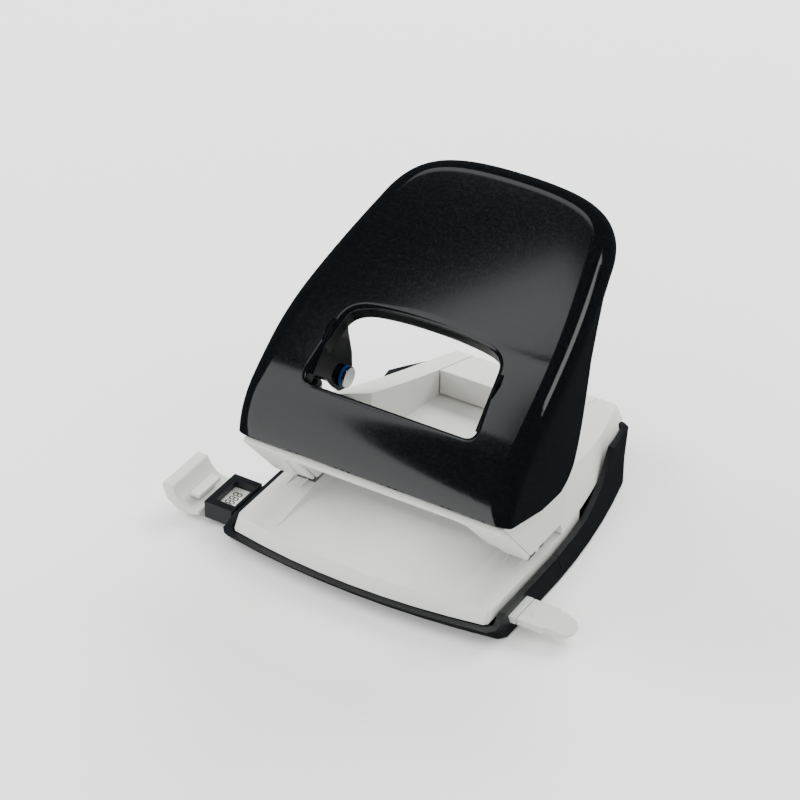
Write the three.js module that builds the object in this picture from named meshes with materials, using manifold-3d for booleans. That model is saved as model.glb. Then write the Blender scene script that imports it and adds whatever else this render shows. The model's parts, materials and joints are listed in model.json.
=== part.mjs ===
// Two-hole office punch: a pressed steel handle leaning back over a moulded body,
// two spring-returned punches 80 mm apart, a sliding paper guide and a chip tray.
// Millimetres. X runs to the right seen from the paper side, Y to the back, Z up.
// The origin is on the table, under the midpoint between the two punches.

import * as THREE from 'three';
import { mergeVertices } from 'three/addons/utils/BufferGeometryUtils.js';
import Module from 'manifold-3d';

const wasm = await Module();
wasm.setup();

// ---- driving dimensions ----
const holeSpacing = 80;        // between the two punches
const paperDepth = 12;         // hole centre to the paper edge
const punchRadius = 2.75;
const handleTravel = THREE.MathUtils.degToRad(22);
const dieEntry = 2.1;          // how far a pressed punch goes below the deck top
const gap = 0.3;               // between pieces that rest on each other
const runningGap = 0.25;       // round a piece that slides or turns
const bodyMargin = 7.6;        // punch centre to the body's side
const deckTop = 9.7;
const deckPlate = 1.8;
const slotHeight = 5.8;        // paper slot above the deck
const frontReach = 33;         // punch line to the deck's top front corners
const frontBow = 4.8;          // how far the front edge curves out in the middle
const rearReach = 78;          // punch line to the body's rear corners
const sideTaper = 0.00193;     // inward curve of the sides, per mm squared
const wall = 1.8;              // body wall
const baseWall = 2.2;
const baseFloor = 1.4;
const footLift = 0.7;          // rubber below the base
const rimTop = 7.7;            // top of the base's side walls
const flare = 0.354;           // outward lean of the base's walls, per mm
const seamY = 4;               // between the fixed base and the chip tray
const sheet = 1.6;             // handle sheet
const handleGap = 1.0;         // handle flange to the body's side
const bend = 6;                // radius of the handle's rolled edges
const lean = THREE.MathUtils.degToRad(64.6);
const handleTip = 104.6;       // along the leaning plane
const pivot = { y: -19, z: 44, r: 2.5 };
const drive = { y: 3.5, r: 3.6 };
const barWidth = 12;
const barThick = 2.4;
const barTop = 5.7;
const barY = -22.2;            // centre line of the guide bar
const stopReach = 28.5;        // punch to the stop at the shortest format
const wireRadius = 0.4;
const springTurns = 6;

// ---- derived places ----
const punchX = holeSpacing / 2;
const stopFace = punchX + stopReach;
const bodyHalf = punchX + bodyMargin;
const deckHalf = bodyHalf - 0.2;
const rimInner = bodyHalf + gap;
const baseTopHalf = rimInner + baseWall;
const baseHalf = baseTopHalf + flare * rimTop;
const handleHalf = bodyHalf + handleGap + sheet;
const slotTop = deckTop + slotHeight;
const jawInner = punchX - 8;
const driveZ = pivot.z + 5.1;
const stroke = (drive.y - pivot.y) * Math.sin(handleTravel)
  + (driveZ - pivot.z) * (1 - Math.cos(handleTravel));
const punchTip = deckTop - dieEntry + stroke;
const punchTop = driveZ - drive.r - 0.35;
const bushTop = punchTip + 7.6;
const capThick = 1.6;
const capRadius = punchRadius + 1.15;
const windowHalf = punchX - 8.8;
const lugX = punchX - 10.4;
const lugThick = 1.8;
const frameThick = 1.9;
const springRadius = punchRadius + 0.75;
const frameX = punchX - springRadius - wireRadius - 0.1 - frameThick;
const bracketX = jawInner - 0.5 - lugThick;
const trayPivot = { y: -10, z: 3.2, r: 1.1 };

// ---- materials ----
const finish = (color, roughness, metalness) =>
  new THREE.MeshStandardMaterial({ color, roughness, metalness });
const lacquer = finish(0x14171a, 0.22, 0.3);
const greyPlastic = finish(0xdcdcd8, 0.5, 0);
const blackPlastic = finish(0x212427, 0.45, 0);
const steel = finish(0xa9adb0, 0.35, 1);
const chrome = finish(0xc9cdd0, 0.15, 1);
const guidePlastic = finish(0xcfd2cd, 0.5, 0);
const labelPlastic = finish(0xe4e6df, 0.4, 0);
const rubber = finish(0x1a1b1c, 0.85, 0);
const bluePlastic = finish(0x2c4a7c, 0.4, 0);

// ---- solids ----
const zUp = new THREE.Matrix4();
const alongX = new THREE.Matrix4().makeBasis(
  new THREE.Vector3(0, 1, 0), new THREE.Vector3(0, 0, 1), new THREE.Vector3(1, 0, 0));

function solid(geometry) {
  const g = geometry.index ? geometry.clone() : geometry;
  g.deleteAttribute('normal');
  g.deleteAttribute('uv');
  const merged = mergeVertices(g, 1e-4);
  return new wasm.Manifold(new wasm.Mesh({
    numProp: 3,
    vertProperties: Float32Array.from(merged.attributes.position.array),
    triVerts: Uint32Array.from(merged.index.array),
  }));
}

function shapeOf(points) {
  return new THREE.Shape(points.map(([a, b]) => new THREE.Vector2(a, b)));
}

function prism(shape, matrix, low, high) {
  const g = new THREE.ExtrudeGeometry(shape, {
    depth: high - low, bevelEnabled: false, curveSegments: 8 });
  g.translate(0, 0, low);
  return solid(g.applyMatrix4(matrix));
}

// Side-view outline of [y, z] points, between two places along X.
const sidePrism = (points, x0, x1) => prism(shapeOf(points), alongX, x0, x1);

function box(x0, x1, y0, y1, z0, z1) {
  const g = new THREE.BoxGeometry(x1 - x0, y1 - y0, z1 - z0);
  return solid(g.translate((x0 + x1) / 2, (y0 + y1) / 2, (z0 + z1) / 2));
}

function rodX(radius, x0, x1, y, z, sides = 20) {
  const g = new THREE.CylinderGeometry(radius, radius, x1 - x0, sides);
  return solid(g.rotateZ(Math.PI / 2).translate((x0 + x1) / 2, y, z));
}

function rodZ(radius, z0, z1, x, y, sides = 20) {
  const g = new THREE.CylinderGeometry(radius, radius, z1 - z0, sides);
  return solid(g.rotateX(Math.PI / 2).translate(x, y, (z0 + z1) / 2));
}

// A closed skin through rings that have the same number of points.
function loft(rings) {
  const count = rings[0].length;
  const positions = rings.flat().flat();
  const index = [];
  for (let r = 0; r < rings.length - 1; r++) {
    for (let i = 0; i < count; i++) {
      const a = r * count + i;
      const b = r * count + (i + 1) % count;
      index.push(a, b, b + count, a, b + count, a + count);
    }
  }
  const cap = (ring, offset, flip) => {
    const flat = ring.map((p) => new THREE.Vector2(p[0], ring.flatAxis === 'y' ? p[2] : p[1]));
    for (const [a, b, c] of THREE.ShapeUtils.triangulateShape(flat, [])) {
      index.push(offset + a, offset + (flip ? c : b), offset + (flip ? b : c));
    }
  };
  cap(rings[0], 0, true);
  cap(rings[rings.length - 1], (rings.length - 1) * count, false);
  const g = new THREE.BufferGeometry();
  g.setAttribute('position', new THREE.Float32BufferAttribute(positions, 3));
  g.setIndex(index);
  return solid(g);
}

const group = new THREE.Group();

function add(name, body, material) {
  const { vertProperties, triVerts } = body.getMesh();
  const g = new THREE.BufferGeometry();
  g.setAttribute('position', new THREE.Float32BufferAttribute(vertProperties, 3));
  g.setIndex(Array.from(triVerts));
  g.computeVertexNormals();
  const mesh = new THREE.Mesh(g, material);
  mesh.name = name;
  group.add(mesh);
}

const join = (...parts) => parts.reduce((a, b) => a.add(b));
const cut = (body, ...tools) => tools.reduce((a, b) => a.subtract(b), body);

// Mirrors a side-view outline's X span to the left or right side.
const span = (side, x0, x1) => (side > 0 ? [x0, x1] : [-x1, -x0]);
const sides = [['left', -1], ['right', 1]];

// ---- plan outline shared by the base, the tray, the deck and the body ----
const sideCurve = (y) => sideTaper * Math.max(0, y + 5) ** 2;

// Front bow, curved sides and a bowed rear, as [x, y, z] points at one height.
function outline(half, frontY, rearY, z, corner = 2) {
  const points = [];
  const bow = (x, sagitta) => sagitta * (1 - (x / half) ** 2);
  for (let i = -4; i <= 4; i++) {
    const x = (half - corner) * i / 4;
    points.push([x, frontY - bow(x, frontBow), z]);
  }
  for (let i = 0; i <= 8; i++) {
    const y = frontY + corner + (rearY - corner - frontY - corner) * i / 8;
    points.push([half - sideCurve(y), y, z]);
  }
  const rearHalf = half - sideCurve(rearY) - corner;
  for (let i = 4; i >= -4; i--) {
    points.push([rearHalf * i / 4, rearY + 2.5 * (1 - (i / 4) ** 2), z]);
  }
  for (let i = 8; i >= 0; i--) {
    const y = frontY + corner + (rearY - corner - frontY - corner) * i / 8;
    points.push([-(half - sideCurve(y)), y, z]);
  }
  return points;
}

// ---- base and chip tray: one leaning wall, parted at the seam ----
const frontRim = { z: 5.4, y: -frontReach - 5.3 };
const baseRing = (inset, z) => {
  const frontY = z < frontRim.z
    ? frontRim.y + (frontRim.z - z) * 0.9
    : frontRim.y + (z - frontRim.z) * 0.7;
  const rearY = rearReach - 2 - (10.6 - Math.min(z, 10.6)) * 1.57;
  const half = baseTopHalf + Math.max(0, rimTop - z) * flare;
  return outline(half - inset, frontY + inset, rearY - inset, z);
};
const baseTop = 20;
const ringHeights = [footLift, frontRim.z, 10.6, baseTop];
const outerBase = loft(ringHeights.map((z) => baseRing(0, z)));
const innerBase = loft([footLift + baseFloor, frontRim.z, 10.6, baseTop + 1]
  .map((z) => baseRing(baseWall, z)));
const aboveRim = (raise) => sidePrism([
  [-60, frontRim.z + raise], [-frontReach - 1, frontRim.z + raise], [-frontReach + 3, rimTop + raise],
  [26, rimTop - 0.3 + raise], [41, 10 + raise], [53.5, 17.2 + raise], [rearReach, 10.4 + raise],
  [rearReach + 20, 6 + raise], [rearReach + 20, 60], [-60, 60],
], -80, 80);
const wallRing = cut(outerBase, innerBase, aboveRim(0));
// What the other pieces keep clear of: the same wall, a gap thicker on every side.
const wallRoom = cut(loft(ringHeights.map((z) => baseRing(-4, z))),
  loft([0, frontRim.z, 10.6, baseTop + 1].map((z) => baseRing(baseWall + gap, z))), aboveRim(gap));

const barSlot = (x0, x1) => box(x0, x1,
  barY - barWidth / 2 - runningGap, barY + barWidth / 2 + runningGap,
  barTop - barThick - runningGap, barTop + runningGap);

const trayFront = trayPivot.y - 1.6;
const pocketFront = trayPivot.y - 3.5;      // room for the tongue's front edge as the tray swings
const trayHalf = punchX + 5;
const trayTongue = box(-trayHalf, trayHalf, trayFront, seamY + gap, 0, 20);
const trayZone = join(box(-90, 90, seamY + gap, 200, -1, 60), trayTongue);
const tonguePocket = box(-trayHalf - gap, trayHalf + gap, pocketFront, seamY + 1, -1, 20);
const frontZone = cut(box(-90, 90, -90, seamY, -1, 60), tonguePocket);

const hingeX = [-punchX + 14, punchX - 14];
const hingeWidth = 6;
const knuckle = (x, grow = 0) => rodX(2.3 + grow, x - hingeWidth / 2 - grow,
  x + hingeWidth / 2 + grow, trayPivot.y, trayPivot.z, 16);

// The tray's lip stands round its tongue, open at the top under the dies.
const lip = (x0, x1, y0, y1) => box(x0, x1, y0, y1, footLift, 4.8);
const trayLips = join(
  lip(-trayHalf, -trayHalf + 1.4, -6, seamY + 1), lip(trayHalf - 1.4, trayHalf, -6, seamY + 1),
  lip(-trayHalf, trayHalf, -6.6, -5.2));
let tray = join(wallRing.intersect(trayZone), trayLips);
for (const x of hingeX) {
  tray = join(tray, knuckle(x), box(x - hingeWidth / 2, x + hingeWidth / 2,
    trayPivot.y, trayPivot.y + 4, footLift, trayPivot.z + 1));
}

// Each knuckle of the tray turns between two round lugs of the base.
const lugRadius = 1.95;
const lugReach = hingeWidth / 2 + gap + 2;
const hingeBore = (x, r) => rodX(r, x - lugReach - 1, x + lugReach + 1, trayPivot.y, trayPivot.z, 16);
let base = wallRing.intersect(frontZone);
for (const x of hingeX) {
  for (const s of [-1, 1]) {
    const x0 = x + s * (lugReach - 1);
    base = join(base, rodX(lugRadius, x0 - 1, x0 + 1, trayPivot.y, trayPivot.z, 16),
      box(x0 - 1, x0 + 1, trayPivot.y - 6, trayPivot.y, trayPivot.z - lugRadius, trayPivot.z + lugRadius),
      box(x0 - 1, x0 + 1, trayPivot.y - 6, pocketFront, footLift, trayPivot.z));
    tray = cut(tray, box(x0 - 1 - gap, x0 + 1 + gap, trayFront - 1, trayPivot.y + lugRadius + gap, -1, 20));
  }
  tray = cut(tray, hingeBore(x, trayPivot.r + runningGap));
  base = cut(base, hingeBore(x, trayPivot.r + 0.05));
}
base = cut(base, barSlot(-90, 90));
add('base_shell', base, blackPlastic);
add('chip_tray', tray, blackPlastic);

sides.forEach(([side], i) => {
  add(`tray_hinge_pin_${side}`, rodX(trayPivot.r, hingeX[i] - lugReach, hingeX[i] + lugReach,
    trayPivot.y, trayPivot.z, 16), steel);
});

// ---- rubber feet under the base and the tray ----
const foot = (x0, x1, y0, y1) => box(x0, x1, y0, y1, 0, footLift - 0.02);
add('rubber_strip_front', foot(-punchX + 6, punchX - 6, -frontReach - 1, -frontReach + 6), rubber);
add('rubber_strip_middle', foot(-punchX + 22, punchX - 22, -2, seamY + 3), rubber);
add('rubber_strip_rear', foot(-punchX + 8, punchX - 8, rearReach - 32, rearReach - 24), rubber);

// ---- steel frames: a C plate beside each punch that carries the axle and the load ----
const frameOutline = [
  [-24.2, 44], [-22.6, 47.4], [-19, 48.8], [-15.4, 47.4], [-12.6, 42], [-4.6, 34],
  [paperDepth + 8, 28], [paperDepth + 13, 22], [paperDepth + 13, deckTop - 4.6],
  [-9, deckTop - 4.6], [-9, deckTop - deckPlate - gap], [paperDepth + 4, deckTop - deckPlate - gap],
  [paperDepth + 4, slotTop + 6], [paperDepth - 1, slotTop + wall + gap + 0.6],
  [-8, slotTop + wall + gap + 0.6], [-22.4, 37.4]];
// The same outline with every edge moved out, for the slots that the frames stand in.
function grown(points, amount) {
  return points.map((point, i) => {
    const before = points[(i + points.length - 1) % points.length];
    const after = points[(i + 1) % points.length];
    const a = new THREE.Vector2(point[0] - before[0], point[1] - before[1]).normalize();
    const b = new THREE.Vector2(after[0] - point[0], after[1] - point[1]).normalize();
    const out = new THREE.Vector2(-a.y - b.y, a.x + b.x).normalize();
    const reach = amount / Math.max(0.4, out.dot(new THREE.Vector2(-a.y, a.x)));
    return [point[0] + out.x * reach, point[1] + out.y * reach];
  });
}
const frameSlot = (s, grow) => sidePrism(grown(frameOutline, grow),
  ...span(s, frameX - grow, frameX + frameThick + grow));
const axleHole = (r, reach = 90) => rodX(r, -reach, reach, pivot.y, pivot.z, 20);
for (const [side, s] of sides) {
  add(`steel_frame_${side}`, cut(frameSlot(s, 0), axleHole(pivot.r + 0.05)), steel);
}

// ---- deck: the paper table, with a hollow underside and a sloping middle ----
const deckBack = paperDepth + 16;
const deckRing = (inset, z) => {
  const frontY = -frontReach - (deckTop - z) * 0.72;
  return outline(deckHalf - inset, frontY + inset, deckBack - inset, z, 1.2);
};
const deckBlock = loft([5.6, deckTop].map((z) => deckRing(0, z)));
const deckHollow = loft([5, deckTop - deckPlate].map((z) => deckRing(2, z)));
const middle = { half: punchX - 6.8, drop: 2.2, front: -frontReach + 1 };
const wedge = (lower, half) => sidePrism([
  [middle.front, deckTop - lower], [paperDepth + 40, deckTop - lower - middle.drop * 1.5],
  [paperDepth + 40, deckTop + 5], [middle.front, deckTop + 5]], -half, half);
const hollow = cut(deckHollow, cut(box(gap - frameX, frameX - gap, -90, 90, 0, 20),
  sidePrism([[-90, 0], [middle.front, deckTop - deckPlate], [paperDepth + 40,
    deckTop - deckPlate - middle.drop * 1.5], [paperDepth + 40, -5], [-90, -5]], -90, 90)));
const dieHole = (s, grow) => box(s * punchX - 4.2 - grow, s * punchX + 4.2 + grow,
  -5 - grow, 5 + grow, deckTop - deckPlate - 1, deckTop + 1);
const frameWay = (s) => box(...span(s, frameX - gap, frameX + frameThick + gap),
  paperDepth + 4 - gap, paperDepth + 13 + gap, deckTop - 6, 60);
let deck = cut(deckBlock, hollow, wedge(0, middle.half));
deck = cut(deck, wallRoom, barSlot(-90, 90), dieHole(-1, gap), dieHole(1, gap), frameWay(-1), frameWay(1));
add('deck', deck, greyPlastic);

// ---- dies: hardened plates in the deck that the punches enter ----
const dieThick = deckPlate - 0.1;
for (const [side, s] of sides) {
  const plate = box(s * punchX - 4.2, s * punchX + 4.2, -5, 5, deckTop - 0.1 - dieThick, deckTop - 0.1);
  add(`die_plate_${side}`, cut(plate, rodZ(punchRadius + runningGap, 0, 20, s * punchX, 0, 24)), steel);
}

// ---- body cover: rear housing with a sunk middle ----
const topAt = (y) => 15.3 + (rearReach - y) * 0.155 + 0.0026 * Math.max(0, 60 - y) ** 2;
const ridgeAt = (y) => 15.7 + (rearReach - y) * 0.325 + 0.0008 * Math.max(0, 60 - y) ** 2;
const ridgeHalf = punchX - 15.6;
const coverBottom = deckTop + gap;
const coverRing = (inset) => (y) => {
  const foot = bodyHalf - sideCurve(y) - inset;
  const fold = foot - 3.2;
  const top = topAt(y) - inset;
  const ridge = ridgeAt(y) - inset;
  const low = inset > 0 ? coverBottom - 5 : coverBottom;
  return Object.assign([[-foot, y, low], [foot, y, low], [fold, y, top], [ridgeHalf, y, ridge],
    [-ridgeHalf, y, ridge], [-fold, y, top]], { flatAxis: 'y' });
};
const stations = (from, to) => Array.from({ length: 9 }, (_, i) => to + (from - to) * i / 8);
const housing = loft(stations(paperDepth + gap, rearReach).map(coverRing(0)));
const housingHollow = loft(stations(paperDepth + gap + wall, rearReach - wall).map(coverRing(wall)));
const recess = { front: paperDepth - 4, back: rearReach - 23 };
const floorAt = (y) => 16.9 - (y - rearReach + 45) * 0.176;
const recessOutline = (grow) => [
  [recess.front - grow, floorAt(recess.front) - grow], [recess.back + grow, floorAt(recess.back) - grow],
  [recess.back + grow, 70], [recess.front - grow, 70]];
const recessCut = sidePrism(recessOutline(0), -ridgeHalf, ridgeHalf);
const recessWall = sidePrism(recessOutline(wall), -ridgeHalf - wall, ridgeHalf + wall);

const lidSeat = sidePrism([[recess.back, floorAt(recess.back)], [rearReach + 5, coverBottom + 1.2],
  [rearReach + 5, 60], [recess.back, 60]], -ridgeHalf - gap, ridgeHalf + gap);
const cover = cut(housing, cut(housingHollow, recessWall), recessCut);
add('body_cover', cut(cover, wallRoom, lidSeat, frameSlot(-1, gap), frameSlot(1, gap)), greyPlastic);

// ---- jaws over the paper slot: open boxes that hold the punch guides and the axles ----
const jawOutline = [
  [-9, slotTop], [-26.4, 36.6], [-25.6, 41], [-23.6, 46.4], [-19.5, 49], [-15, 48],
  [-10.5, 42], [-4, 35.4], [paperDepth, 33.6], [paperDepth, slotTop]];
const jawHollow = [
  [-9 + 0.6, slotTop + wall], [-26.4 + wall + 0.8, 36.6], [-23, 43], [-20, 60], [6.5, 60],
  [6.5, 32.6], [paperDepth + 1, 31.8], [paperDepth + 1, slotTop + wall]];
for (const [side, s] of sides) {
  const outer = sidePrism(jawOutline, ...span(s, jawInner, bodyHalf));
  const inner = sidePrism(jawHollow, ...span(s, jawInner + wall, bodyHalf - wall));
  const bushHole = box(s * punchX - 3.4 - gap, s * punchX + 3.4 + gap,
    -4.2 - gap, 4.2 + gap, slotTop - 1, slotTop + wall + 1);
  add(`jaw_${side}`, cut(outer, inner, bushHole, frameSlot(s, gap),
    axleHole(pivot.r + 0.05, bodyHalf - 0.6)), greyPlastic);
}

// ---- rear lid: the wedge between the two seams behind the recess ----
const lidUnder = (y) => floorAt(recess.back) + gap - (y - recess.back) * 0.06;
const lidRing = (y) => Object.assign([[-ridgeHalf, y, lidUnder(y)], [ridgeHalf, y, lidUnder(y)],
  [ridgeHalf, y, ridgeAt(y)], [-ridgeHalf, y, ridgeAt(y)]], { flatAxis: 'y' });
add('rear_lid', cut(loft(stations(recess.back + gap, rearReach).map(lidRing)),
  box(-90, 90, 0, 200, 0, coverBottom + 2), wallRoom), greyPlastic);

// ---- nose cover: the sloping front plate with an arch between its two legs ----
const noseTop = { y: -26.9, z: 37.2 };
const noseTip = { y: -9.3, z: slotTop + 0.2 };
const noseRun = Math.hypot(noseTop.y - noseTip.y, noseTop.z - noseTip.z);
const noseUp = new THREE.Vector3(0, (noseTop.y - noseTip.y) / noseRun,
  (noseTop.z - noseTip.z) / noseRun);
const across = new THREE.Vector3(1, 0, 0);
const noseMatrix = new THREE.Matrix4()
  .makeBasis(across, noseUp, across.clone().cross(noseUp))
  .setPosition(0, noseTip.y, noseTip.z);
function archShape(half, tipHalf, height) {
  const shape = new THREE.Shape();
  shape.moveTo(-bodyHalf, 0);
  shape.lineTo(-tipHalf, 0);
  shape.lineTo(-half, height - 5);
  shape.quadraticCurveTo(-half + 2, height, -half + 8, height);
  shape.lineTo(half - 8, height);
  shape.quadraticCurveTo(half - 2, height, half, height - 5);
  shape.lineTo(tipHalf, 0);
  shape.lineTo(bodyHalf, 0);
  shape.lineTo(bodyHalf, noseRun);
  shape.lineTo(-bodyHalf, noseRun);
  return shape;
}
const noseInner = prism(archShape(punchX - 9, punchX - 7.2, noseRun - 4.2), noseMatrix, gap, 1.2);
const noseOuter = prism(archShape(punchX - 5, punchX - 1.2, noseRun - 4), noseMatrix, 1.1, 1.9);
add('nose_cover', join(noseInner, noseOuter), greyPlastic);

// ---- punches, their guides, springs and caps ----
function springPath(x, z0, z1, radius) {
  const points = [];
  const steps = springTurns * 10;
  for (let i = 0; i <= steps; i++) {
    const a = i / 10 * Math.PI * 2;
    points.push(new THREE.Vector3(x + radius * Math.cos(a), radius * Math.sin(a),
      z0 + (z1 - z0) * i / steps));
  }
  return new THREE.CatmullRomCurve3(points);
}
for (const [side, s] of sides) {
  const x = s * punchX;
  const bush = join(box(x - 3.4, x + 3.4, -4.2, 4.2, slotTop + 0.4, slotTop + wall + gap + 0.1),
    rodZ(4.6, slotTop + wall + gap, bushTop, x, 0, 24));
  add(`punch_guide_${side}`, cut(bush, rodZ(punchRadius + runningGap, 0, 80, x, 0, 24),
    box(...span(s, frameX - gap, frameX + frameThick + gap), -9, 9, 0, 80)), steel);
  const grooveZ = punchTop - 0.6 - capThick;
  const rod = join(rodZ(punchRadius, punchTip, grooveZ - gap, x, 0, 24),
    rodZ(punchRadius - 0.7, grooveZ - gap - 0.1, grooveZ + capThick + gap + 0.1, x, 0, 24),
    rodZ(punchRadius, grooveZ + capThick + gap, punchTop, x, 0, 24));
  const notch = sidePrism([[-punchRadius - 1, punchTip - 1], [punchRadius + 1, punchTip - 1],
    [0, punchTip + 1.1]], x - 4, x + 4);
  add(`punch_${side}`, cut(rod, notch), steel);
  add(`punch_cap_${side}`, cut(rodZ(capRadius, grooveZ, grooveZ + capThick, x, 0, 24),
    rodZ(punchRadius - 0.5, 0, 90, x, 0, 24),
    box(x - punchRadius + 0.5, x + punchRadius - 0.5, -9, 0, 0, 90)), steel);
  const wire = new THREE.Shape().absarc(0, 0, wireRadius, 0, Math.PI * 2, false);
  const coil = new THREE.ExtrudeGeometry(wire, { curveSegments: 3, bevelEnabled: false,
    steps: springTurns * 10,
    extrudePath: springPath(x, bushTop + wireRadius + 0.15, grooveZ - wireRadius - 0.15, springRadius) });
  add(`punch_spring_${side}`, solid(coil), steel);
  add(`pivot_axle_${side}`, rodX(pivot.r, ...span(s, bracketX - 1.5, bodyHalf - 0.9),
    pivot.y, pivot.z, 20), steel);
}

// ---- handle: one pressed sheet, drawn flat in the leaning plane and then bent ----
const leanUp = new THREE.Vector3(0, Math.sin(lean), Math.cos(lean));
const leanOut = across.clone().cross(leanUp);
const straight = { y: 10.8, z: 77.7 };      // where the curved stretch ends
const alongLean = (y, z) => y * leanUp.y + z * leanUp.z;
const outLean = (y, z) => (y - straight.y) * leanOut.y + (z - straight.z) * leanOut.z;
const leanMatrix = new THREE.Matrix4().makeBasis(across, leanUp, leanOut)
  .setPosition(leanOut.clone().multiplyScalar(straight.y * leanOut.y + straight.z * leanOut.z));
const frontArcs = [{ radius: 24.6, to: THREE.MathUtils.degToRad(50.2) }, { radius: 144.9, to: lean }];
const bendSteps = 5;
function frontCurve() {
  const points = [];
  let y = straight.y;
  let z = straight.z;
  let from = lean;
  for (const [radius, to] of [[frontArcs[1].radius, frontArcs[0].to], [frontArcs[0].radius, 0]]) {
    for (let i = 0; i < bendSteps; i++) {
      points.push([y, z]);
      const a = from + (to - from) * i / bendSteps;
      const b = from + (to - from) * (i + 1) / bendSteps;
      y -= radius * (Math.cos(b) - Math.cos(a));
      z -= radius * (Math.sin(a) - Math.sin(b));
    }
    from = to;
  }
  points.push([y, z], [y, z - 12]);
  return points;
}
const front = frontCurve().map(([y, z]) => [alongLean(y, z), outLean(y, z)]);
// How far the front surface lies behind the leaning plane, at a place along it.
function setBack(t) {
  if (t >= front[0][0]) return 0;
  for (let i = 1; i < front.length; i++) {
    if (t >= front[i][0]) {
      const u = (t - front[i][0]) / (front[i - 1][0] - front[i][0]);
      return front[i][1] + (front[i - 1][1] - front[i][1]) * u;
    }
  }
  return front[front.length - 1][1];
}
// Splits every triangle at the places where the bent front changes slope, then bends it.
function bendForward(body) {
  const { vertProperties, triVerts } = body.getMesh();
  const corner = (i) => Array.from(vertProperties.slice(i * 3, i * 3 + 3));
  let triangles = [];
  for (let i = 0; i < triVerts.length; i += 3) {
    triangles.push([corner(triVerts[i]), corner(triVerts[i + 1]), corner(triVerts[i + 2])]);
  }
  for (const [t] of front) {
    triangles = triangles.flatMap((triangle) => splitAt(triangle, t));
  }
  const positions = triangles.flat().flatMap(([x, t, d]) => {
    const p = new THREE.Vector3(x, t, d + setBack(t)).applyMatrix4(leanMatrix);
    return [p.x, p.y, p.z];
  });
  const g = new THREE.BufferGeometry();
  g.setAttribute('position', new THREE.Float32BufferAttribute(positions, 3));
  return solid(g);
}
function splitAt(triangle, t) {
  const side = triangle.map((p) => (Math.abs(p[1] - t) < 1e-5 ? 0 : Math.sign(p[1] - t)));
  if (!(side.includes(1) && side.includes(-1))) return [triangle];
  const meet = (p, q) => {
    const [a, b] = p[1] < q[1] ? [p, q] : [q, p];
    const u = (t - a[1]) / (b[1] - a[1]);
    return [a[0] + (b[0] - a[0]) * u, t, a[2] + (b[2] - a[2]) * u];
  };
  const lone = side.includes(0) ? side.indexOf(0)
    : side.findIndex((v) => side.filter((w) => w === v).length === 1);
  const [a, b, c] = [triangle[lone], triangle[(lone + 1) % 3], triangle[(lone + 2) % 3]];
  if (side.includes(0)) {
    const m = meet(b, c);
    return [[a, b, m], [a, m, c]];
  }
  const m = meet(a, b);
  const n = meet(a, c);
  return [[a, m, n], [m, b, c], [m, c, n]];
}
// Outline of the sheet in the leaning plane: straight, drawn in, round top corners.
function handleShape(inset) {
  const w = handleHalf - inset;
  const top = handleTip - inset;
  const shape = new THREE.Shape();
  shape.moveTo(-w, -16);
  shape.lineTo(w, -16);
  shape.lineTo(w, 20);
  shape.quadraticCurveTo(w, 44, w - 7.8, 80);
  shape.bezierCurveTo(w - 11, top - 5, w - 22, top, 0, top);
  shape.bezierCurveTo(-w + 22, top, -w + 11, top - 5, -w + 7.8, 80);
  shape.quadraticCurveTo(-w, 44, -w, 20);
  return shape;
}
function windowShape(grow) {
  const low = windowHalf + grow;
  const high = windowHalf - 3.7 + grow;
  const bottom = 9.3 - grow;
  const top = 40.6 + grow;
  const shape = new THREE.Shape();
  shape.moveTo(-low + 4, bottom);
  shape.lineTo(low - 4, bottom);
  shape.quadraticCurveTo(low, bottom, low - 0.4, bottom + 4);
  shape.lineTo(high + 0.8, top - 8);
  shape.quadraticCurveTo(high, top - 1.6, high - 8, top - 1);
  shape.quadraticCurveTo(0, top + 1.6, -high + 8, top - 1);
  shape.quadraticCurveTo(-high, top - 1.6, -high - 0.8, top - 8);
  shape.lineTo(-low + 0.4, bottom + 4);
  shape.quadraticCurveTo(-low, bottom, -low + 4, bottom);
  return shape;
}
function rolledBlock(inset) {
  const r = bend - inset;
  const depth = 60;
  const g = new THREE.ExtrudeGeometry(handleShape(inset), { depth, curveSegments: 5,
    bevelEnabled: true, bevelThickness: r, bevelSize: r, bevelOffset: -r, bevelSegments: 3 });
  return solid(g.translate(0, 0, -depth - r - inset * 1.35));
}
const flat = (shape, low, high) => prism(shape, zUp, low, high);
const lipDepth = 6;
const shellFlat = cut(join(cut(rolledBlock(0), rolledBlock(sheet)),
  flat(windowShape(sheet), -lipDepth, -0.6)), flat(windowShape(0), -80, 20));
const rimDepth = 7.5;
const rearEdge = [[13.4, 38.6], [16, 43.3], [19, 49.6], [23.1, 58.9], [27.5, 68.5], [32.6, 76.4]];
const topEdge = [40, 104].map((t) => {
  const p = new THREE.Vector3(0, t + 30, -rimDepth).applyMatrix4(leanMatrix);
  return [p.y, p.z];
});
const keep = [[-60, 40.6], [-29.4, 38.7], [-10, 33.6], [1, 32.3], [7, 33.2], [11, 35.6],
  ...rearEdge, ...topEdge, [60, 160], [-60, 160]];
let shell = bendForward(shellFlat).intersect(sidePrism(keep, -90, 90));
const lugOutline = [[-14.5, 60], [-3, 71.5], [7, 74], [7.2, 64.5], [9.2, 55], [9.3, 48],
  [7.6, 44.6], [4.4, 43.2], [1.2, 44.2], [-1.6, 47.4], [-6, 53.2], [-11.5, 57.6]];
for (const [, s] of sides) {
  shell = join(shell, sidePrism(lugOutline, ...span(s, lugX, lugX + lugThick)));
}
const driveHole = rodX(drive.r - 0.9, -punchX - 4, punchX + 4, drive.y, driveZ, 20);
shell = cut(shell, driveHole);
add('handle_shell', shell, lacquer);
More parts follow.
